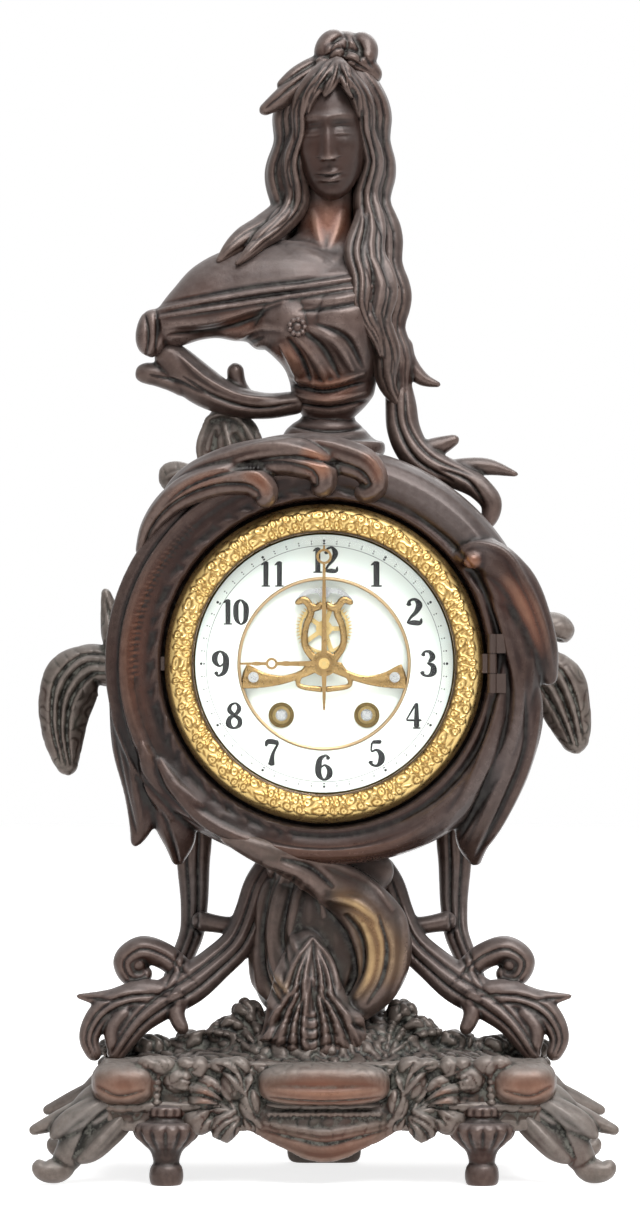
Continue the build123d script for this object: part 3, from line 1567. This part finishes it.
with BuildPart() as back_door_hinge:
    for level in (-1, 1):
        knuckle_bottom = dial_height + level * door_knuckle - door_knuckle / 2 + part_gap / 2
        with BuildSketch(Plane.XY.offset(knuckle_bottom)):
            with Locations((door_hinge_x, door_hinge_y)):
                Circle(door_hinge_barrel_radius)
            with Locations((door_hinge_x, drum_rear_y)):
                Rectangle(
                    2 * door_hinge_barrel_radius,
                    door_hinge_barrel_radius,
                    align=(Align.CENTER, Align.MIN),
                )
        extrude(amount=door_knuckle - part_gap)
    with BuildSketch(Plane.XY.offset(dial_height - door_hinge_length / 2)):
        with Locations((door_hinge_x, door_hinge_y)):
            Circle(hinge_pin_radius)
    extrude(amount=door_hinge_length)

write(bezel.part, "bezel")
write(bezel_glass, "bezel_glass")
write(glass_retainer, "glass_retainer")
write(bezel_hinge.part, "bezel_hinge")
write(case_front.part, "case_front")
write(case_drum.part, "case_drum")
write(back_door.part, "back_door")
write(back_door_knob.part, "back_door_knob")
write(back_door_hinge.part, "back_door_hinge")

# Pendulum on its suspension spring, hung from a cock on the back plate
cock_height = pallet_height + suspension_height
with BuildPart() as suspension_cock:
    with BuildSketch(dial_plane(pendulum_y + suspension_spring_width)):
        with Locations((0, cock_height)):
            Rectangle(suspension_cock_width, suspension_block)
    extrude(amount=pendulum_y + suspension_spring_width - back_plate_rear_y)
    with BuildSketch(dial_plane(pendulum_y + suspension_spring_width)):
        with Locations((0, cock_height)):
            Rectangle(suspension_spring_thickness + 2 * part_gap, suspension_block)
    extrude(amount=2 * suspension_spring_width, mode=Mode.SUBTRACT)

spring_bottom = pallet_height - suspension_block
rod_bottom = drum_wall - drum_radius + pendulum_floor_gap
bob_height = rod_bottom + rating_thread_length + bob_radius
with BuildPart() as pendulum_rod:
    with BuildSketch(dial_plane(pendulum_y + suspension_spring_width / 2)):
        with Locations((0, spring_bottom)):
            Rectangle(suspension_block, suspension_block, align=(Align.CENTER, Align.MAX))
        with Locations((0, cock_height)):
            Rectangle(
                suspension_spring_thickness,
                cock_height - spring_bottom,
                align=(Align.CENTER, Align.MAX),
            )
    extrude(amount=suspension_spring_width)
    with BuildSketch(Plane.XY.offset(dial_height + rod_bottom)):
        with Locations((0, pendulum_y)):
            Circle(pendulum_rod_radius)
    extrude(amount=spring_bottom - rod_bottom - suspension_block / 2)

with BuildPart() as pendulum_bob:
    with BuildSketch(dial_plane(pendulum_y + bob_thickness / 2)):
        with Locations((0, bob_height)):
            Circle(bob_radius)
    extrude(amount=bob_thickness)
    fillet(pendulum_bob.edges().filter_by(GeomType.CIRCLE), bob_thickness * bob_rounding_share)
    with BuildSketch(Plane.XY.offset(dial_height + bob_height - bob_radius - cut_overrun)):
        with Locations((0, pendulum_y)):
            Circle(pendulum_rod_radius)
    extrude(amount=2 * bob_radius + 2 * cut_overrun, mode=Mode.SUBTRACT)

with BuildPart() as rating_nut:
    with BuildSketch(Plane.XY.offset(dial_height + bob_height - bob_radius - part_gap - rating_nut_height)):
        with Locations((0, pendulum_y)):
            Circle(rating_nut_radius)
            Circle(pendulum_rod_radius + running_gap, mode=Mode.SUBTRACT)
    extrude(amount=rating_nut_height)

# Strike: a coil gong on a bracket in the drum, and the hammer on its stud
gong_plane = dial_plane(gong_y)
gong_bottom = -gong_drop - gong_outer_radius
with BuildPart() as coil_gong:
    with BuildLine(gong_plane) as gong_line:
        reach = gong_outer_radius
        middle = -gong_drop
        start = (0, middle - reach)
        for half_turn in range(2 * gong_turns):
            way = -1 if half_turn % 2 == 0 else 1
            stop = (0, middle - way * reach)
            ThreePointArc(start, (way * reach, middle), stop)
            middle = stop[1] + way * (reach - gong_pitch / 2)
            reach = reach - gong_pitch / 2
            start = stop
    with BuildSketch(Plane(origin=gong_plane.from_local_coords((0, gong_bottom)), z_dir=(-1, 0, 0))):
        Circle(gong_wire_radius)
    sweep()

gong_points = []
for half_turn in gong_line.edges():
    gong_points += [half_turn @ (step / gong_samples) for step in range(gong_samples)]
gong_gap = min(
    (gong_points[far] - gong_points[near]).length - 2 * gong_wire_radius
    for near in range(len(gong_points))
    for far in range(near + gong_samples, len(gong_points))
)
print(f"coil gong: least gap to itself {gong_gap:.2f} mm")

with BuildPart() as gong_bracket:
    with BuildSketch(dial_plane(gong_y + gong_bracket_depth / 2)):
        with Locations((0, gong_bottom + gong_tail)):
            Rectangle(
                gong_bracket_width,
                drum_radius + gong_bottom + gong_tail,
                align=(Align.CENTER, Align.MAX),
            )
    extrude(amount=gong_bracket_depth)
    with BuildSketch(dial_plane(gong_y + gong_bracket_depth)):
        Circle(drum_radius + cut_overrun)
        Circle(drum_radius - drum_wall, mode=Mode.SUBTRACT)
    extrude(amount=2 * gong_bracket_depth, mode=Mode.SUBTRACT)
    add(coil_gong.part, mode=Mode.SUBTRACT)

with BuildPart() as hammer:
    with BuildSketch(dial_plane(gong_y + hammer_boss_length / 2)):
        with Locations(hammer_pivot):
            Circle(hammer_boss_radius)
        with BuildLine():
            Line(hammer_pivot, (hammer_head_x, hammer_head_z))
        trace(line_width=2 * hammer_rod_radius)
    extrude(amount=2 * hammer_rod_radius)
    with BuildSketch(dial_plane(gong_y + hammer_boss_length / 2)):
        with Locations(hammer_pivot):
            Circle(hammer_boss_radius)
    extrude(amount=hammer_boss_length)
    head_origin = (hammer_head_x - hammer_head_length / 2, gong_y, dial_height + hammer_head_z)
    with BuildSketch(Plane(origin=head_origin, z_dir=(1, 0, 0))):
        Circle(hammer_head_radius)
    extrude(amount=hammer_head_length)
    with BuildSketch(dial_plane(gong_y + hammer_boss_length)):
        with Locations(hammer_pivot):
            Circle(hammer_stud_radius + running_gap)
    extrude(amount=2 * hammer_boss_length, mode=Mode.SUBTRACT)

write(suspension_cock.part, "suspension_cock")
write(pendulum_rod.part, "pendulum_rod")
write(pendulum_bob.part, "pendulum_bob")
write(rating_nut.part, "rating_nut")
write(coil_gong.part, "coil_gong")
write(gong_bracket.part, "gong_bracket")
write(hammer.part, "hammer")

# Filled outline of the case, used to seat the castings that stand on it
with BuildPart() as case_envelope:
    with BuildSketch(ring_plane()):
        with BuildLine():
            Polyline(
                (case_cove_radius, 0),
                (0, 0),
                (0, drum_rear_y - bezel_seat_y),
                (drum_radius, drum_rear_y - bezel_seat_y),
                (drum_radius, case_front_rear_y - bezel_seat_y),
                (drum_radius + case_wall, case_front_rear_y - bezel_seat_y),
            )
            Spline(
                (drum_radius + case_wall, case_front_rear_y - bezel_seat_y),
                (case_radius, case_crest_height),
                (case_crest_radius, -case_crest_height),
                (case_cove_radius, 0),
            )
        make_face()
    revolve(axis=dial_axis)

# Base: a hollow plinth with cushions and an apron, on turned front feet and scrolled corner feet
plinth_front = -plinth_depth / 2
cushion_bottom = plinth_top - cushion_height
with BuildPart() as plinth_block:
    with BuildSketch(Plane.XY.offset(plinth_bottom)):
        RectangleRounded(plinth_length, plinth_depth, plinth_corner_radius)
    extrude(amount=plinth_top - plinth_bottom)
    with Locations((0, plinth_front, cushion_bottom), (0, -plinth_front, cushion_bottom)):
        Box(
            cushion_length,
            2 * cushion_depth,
            cushion_height,
            align=(Align.CENTER, Align.CENTER, Align.MIN),
        )
    fillet(plinth_block.faces().sort_by(Axis.Y)[0].edges(), cushion_rounding)
    fillet(plinth_block.faces().sort_by(Axis.Y)[-1].edges(), cushion_rounding)
    for side in (-1, 1):
        for end in (-1, 1):
            with Locations(
                (
                    side * (corner_cushion_reach - corner_cushion_length / 2),
                    end * (plinth_depth / 2 - corner_cushion_depth / 4),
                    plinth_top - corner_cushion_height,
                )
            ):
                Box(
                    corner_cushion_length,
                    corner_cushion_depth,
                    corner_cushion_height,
                    align=(Align.CENTER, Align.CENTER, Align.MIN),
                )
    with BuildSketch(Plane.XY.offset(cushion_bottom - bead_band_height)):
        RectangleRounded(
            plinth_length + 2 * bead_band_reach,
            plinth_depth + 2 * bead_band_reach,
            plinth_corner_radius,
        )
    extrude(amount=bead_band_height)
    with BuildSketch(Plane.XZ.offset(-plinth_front)):
        with BuildLine():
            Polyline(
                (-apron_half_length, plinth_bottom + bead_band_height),
                *[(-apron_half_length * x, plinth_bottom - apron_drop * z) for x, z in apron_shares],
                *[(apron_half_length * x, plinth_bottom - apron_drop * z) for x, z in apron_shares[::-1]],
                (apron_half_length, plinth_bottom + bead_band_height),
                close=True,
            )
        make_face()
    extrude(amount=-apron_thickness)

with BuildPart() as base_plinth:
    add(plinth_block.part)
    with BuildSketch(Plane.XY.offset(plinth_bottom)):
        RectangleRounded(
            plinth_length - 4 * plinth_wall,
            plinth_depth - 4 * plinth_wall,
            plinth_corner_radius / 2,
        )
    extrude(amount=plinth_top - plinth_bottom - plinth_wall, mode=Mode.SUBTRACT)

with BuildPart() as front_feet:
    for side in (-1, 1):
        foot_axis = Axis((side * foot_spacing / 2, -foot_setback, 0), (0, 0, 1))
        with BuildSketch(Plane(origin=foot_axis.position, x_dir=(1, 0, 0), z_dir=(0, -1, 0))):
            with BuildLine():
                Polyline(
                    (0, 0),
                    *[(foot_radius * radius, foot_height * level) for radius, level in foot_profile_shares],
                    (0, foot_height),
                    close=True,
                )
            make_face()
        revolve(axis=foot_axis)
    add(plinth_block.part, mode=Mode.SUBTRACT)

floor_origin = (0, 0, 0)
corner_legs = []
for side in (-1, 1):
    for end in (-1, 1):
        leg_rows = placed(corner_leg_shares, floor_origin, base_reach, plinth_top, side)
        nib_rows = placed(corner_nib_shares, floor_origin, base_reach, plinth_top, side)
        leg_rows = [(x, end * y, z, width, depth) for x, y, z, width, depth in leg_rows]
        nib_rows = [(x, end * y, z, width, depth) for x, y, z, width, depth in nib_rows]
        corner_legs.append((limb(leg_rows), limb(nib_rows), leg_rows[-1]))
with BuildPart() as base_feet:
    for leg, nib, toe in corner_legs:
        add(leg)
        add(nib)
        with BuildSketch():
            with Locations((toe[0], toe[1])):
                Circle(toe_radius)
        extrude(amount=toe_height)
    with BuildSketch():
        with Locations((0, rear_foot_setback)):
            Rectangle(rear_foot_length, rear_foot_depth)
    extrude(amount=plinth_bottom + cut_overrun)
    with Locations((0, 0, 0)):
        Box(
            4 * base_reach,
            4 * depth_reach,
            foot_height,
            align=(Align.CENTER, Align.CENTER, Align.MAX),
            mode=Mode.SUBTRACT,
        )
    add(plinth_block.part, mode=Mode.SUBTRACT)

write(base_plinth.part, "base_plinth")
write(front_feet.part, "front_feet")
write(base_feet.part, "base_feet")

# Trunk under the case and the open scrolls on each side of it
trunk_origin = (0, 0, plinth_top)
with BuildPart() as trunk:
    add(limb(placed(trunk_shares, trunk_origin, base_reach, base_rise)))
    add(plinth_block.part, mode=Mode.SUBTRACT)
    add(case_envelope.part, mode=Mode.SUBTRACT)


def base_scroll(side):
    """Open scroll between the trunk, the case and the plinth on one side."""
    tables = (
        scroll_main_shares,
        scroll_volute_shares,
        scroll_tip_shares,
        scroll_hook_shares,
        scroll_strut_shares,
        scroll_tie_shares,
    )
    limbs = [limb(placed(table, trunk_origin, base_reach, base_rise, side)) for table in tables]
    with BuildPart() as scroll:
        for piece in limbs:
            add(piece)
        add(trunk.part, mode=Mode.SUBTRACT)
        add(plinth_block.part, mode=Mode.SUBTRACT)
        add(case_envelope.part, mode=Mode.SUBTRACT)
    return scroll.part


base_scroll_left = base_scroll(-1)
base_scroll_right = base_scroll(1)
write(trunk.part, "trunk")
write(base_scroll_left, "base_scroll_left")
write(base_scroll_right, "base_scroll_right")

# Feathered wings at the case's sides, leaf tips below them and the cresting above
dial_origin = (0, 0, dial_height)


def seated(tables, reach, origin, rise, *neighbours):
    """Casting of several limbs, cut where it meets its neighbours."""
    limbs = [limb(placed(table, origin, reach, rise)) for table in tables]
    with BuildPart() as casting:
        for piece in limbs:
            add(piece)
        for neighbour in neighbours:
            add(neighbour, mode=Mode.SUBTRACT)
    return casting.part


left_origin = (-case_radius, 0, dial_height)
right_origin = (case_radius, 0, dial_height)
left_tables = (wing_left_shares, wing_left_nib_shares)
right_tables = (wing_right_shares, wing_right_lump_shares)
wing_left = seated(left_tables, wing_overhang, left_origin, case_radius, case_envelope.part)
wing_right = seated(right_tables, wing_overhang, right_origin, case_radius, case_envelope.part)
leaf_tables = (leaf_left_shares, leaf_right_shares)
case_leaves = seated(leaf_tables, case_radius, dial_origin, case_radius, case_envelope.part)
bust_origin = (0, 0, bust_base)
torso_tables = (socle_shares, torso_shares, shoulder_left_shares, shoulder_right_shares)
bust_torso = seated(torso_tables, bust_reach, bust_origin, bust_height, case_envelope.part)
crest_tables = (
    wave_left_shares,
    wave_middle_shares,
    wave_low_shares,
    wave_right_shares,
    fan_shares,
    fan_small_shares,
)
cresting = seated(crest_tables, case_radius, dial_origin, case_radius, case_envelope.part, bust_torso)
write(wing_left, "wing_left")
write(wing_right, "wing_right")
write(case_leaves, "case_leaves")
write(cresting, "cresting")

# Bust: torso, head, hair, headdress and the scrolled branches at its waist
bust_head = seated((head_shares,), bust_reach, bust_origin, bust_height, bust_torso)
hair_tables = (hair_left_shares, hair_right_shares, hair_back_shares)
bust_hair = seated(hair_tables, bust_reach, bust_origin, bust_height, bust_head, bust_torso)
headdress_tables = (headdress_shares, quill_shares)
headdress = seated(headdress_tables, bust_reach, bust_origin, bust_height, bust_head, bust_hair)
arm_tables = (
    arm_left_shares,
    arm_left_high_shares,
    arm_left_branch_shares,
    arm_right_shares,
    arm_right_leaf_shares,
    arm_right_blade_shares,
    arm_right_spur_shares,
)
bust_scrolls = seated(
    arm_tables,
    bust_reach,
    bust_origin,
    bust_height,
    bust_torso,
    bust_hair,
    case_envelope.part,
    cresting,
)
write(bust_torso, "bust_torso")
write(bust_head, "bust_head")
write(bust_hair, "bust_hair")
write(headdress, "headdress")
write(bust_scrolls, "bust_scrolls")
